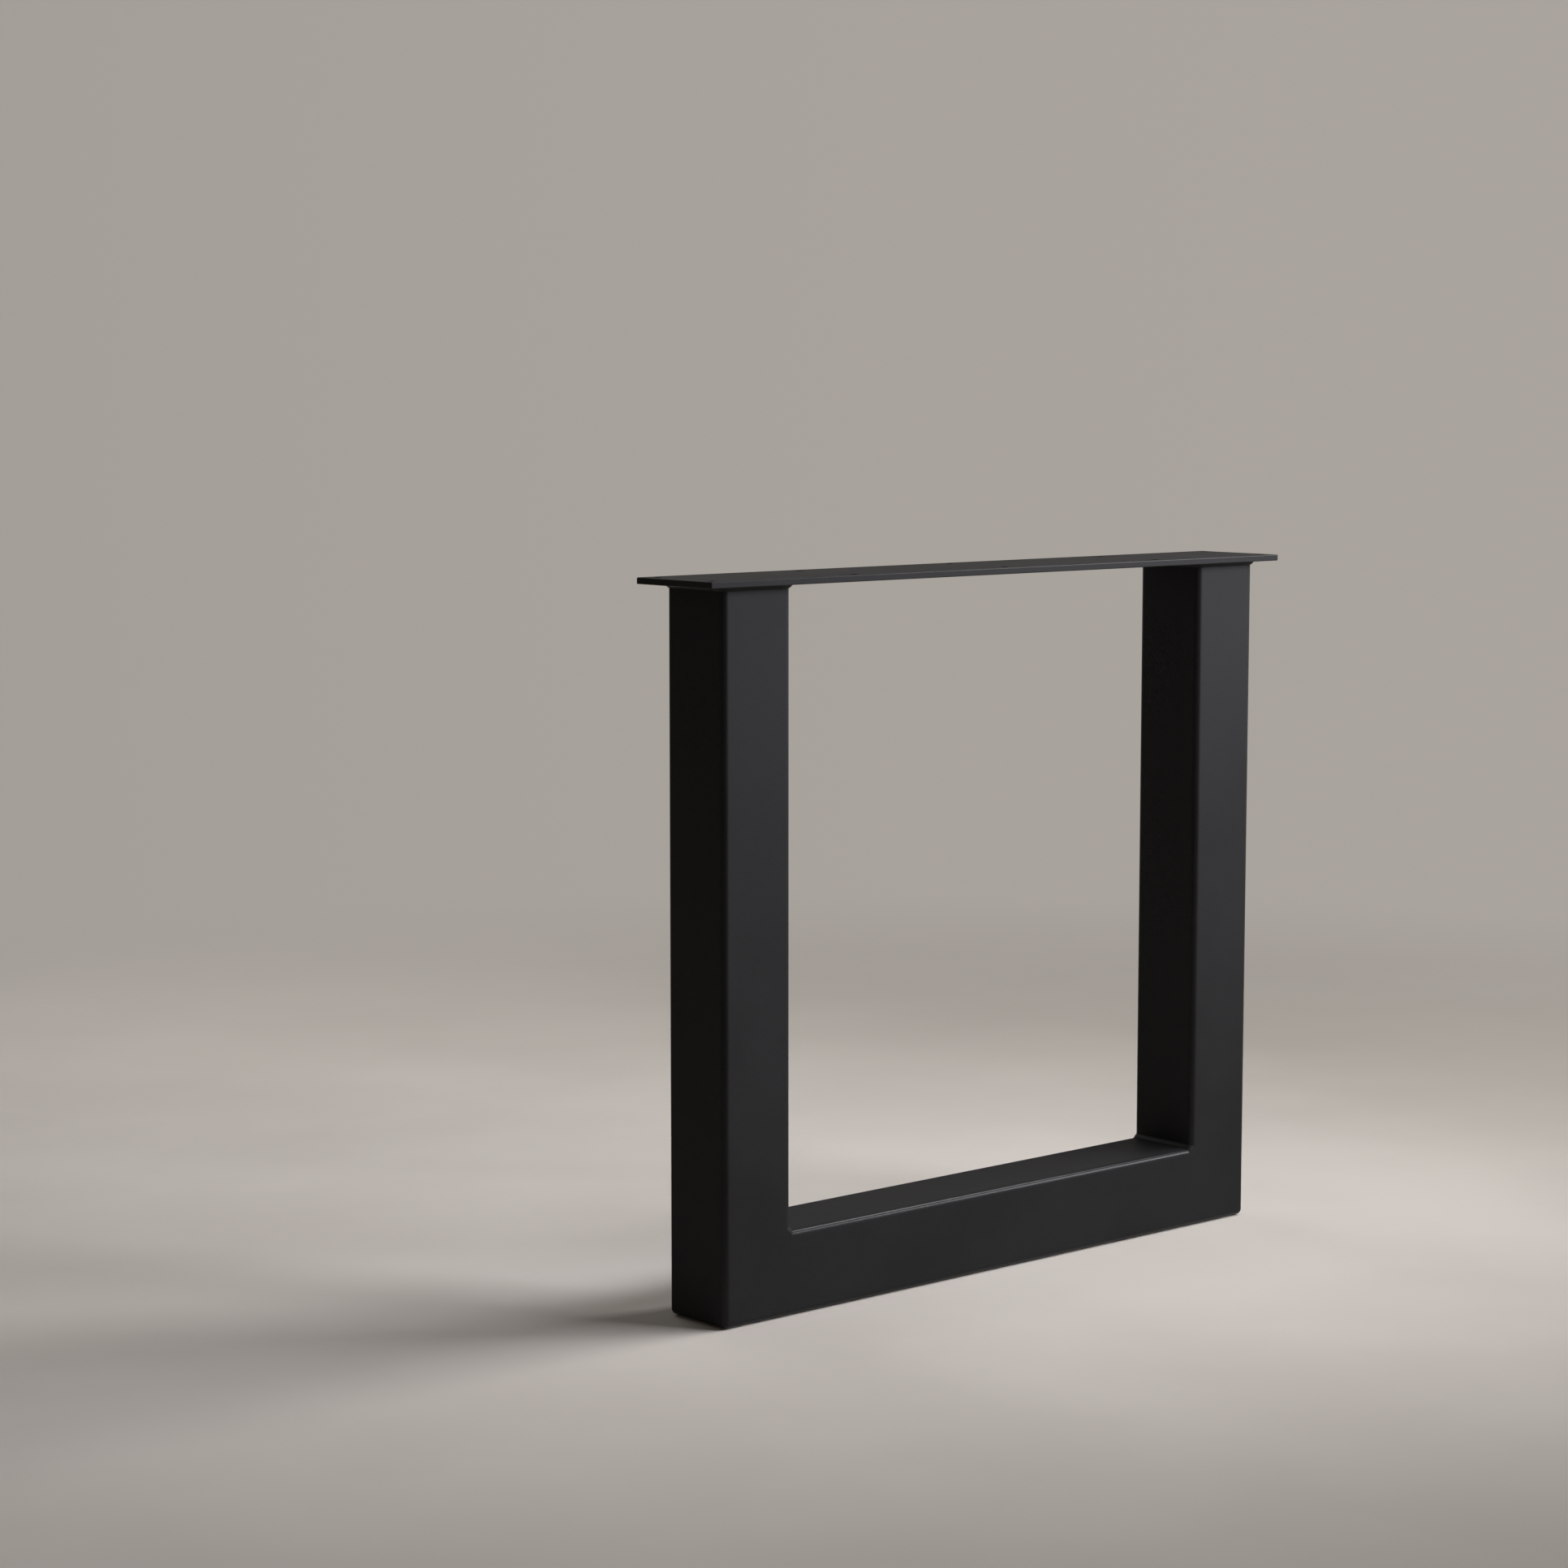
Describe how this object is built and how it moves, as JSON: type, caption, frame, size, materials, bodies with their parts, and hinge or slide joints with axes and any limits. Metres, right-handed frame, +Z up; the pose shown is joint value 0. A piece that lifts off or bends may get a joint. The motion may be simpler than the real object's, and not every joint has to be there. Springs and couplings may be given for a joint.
{
  "type": "u shaped table leg",
  "caption": "U shaped table leg of mitred square steel tube with a flat plate across the top for screwing to a table top, powder coated matte black.",
  "frame": {"origin": "on the floor, under the middle of the leg", "axes": "+X along the width of the U, +Y through its depth, +Z up towards the table top"},
  "size_m": [0.75, 0.105, 0.68],
  "materials": {
    "powder_coat": "fine textured matte black powder coat"
  },
  "bodies": {
    "root": {"top_plate": "powder_coat", "left_upright": "powder_coat", "right_upright": "powder_coat", "bottom_rail": "powder_coat", "left_plate_weld": "powder_coat", "right_plate_weld": "powder_coat", "left_corner_weld": "powder_coat", "right_corner_weld": "powder_coat"}
  },
  "joints": []
}
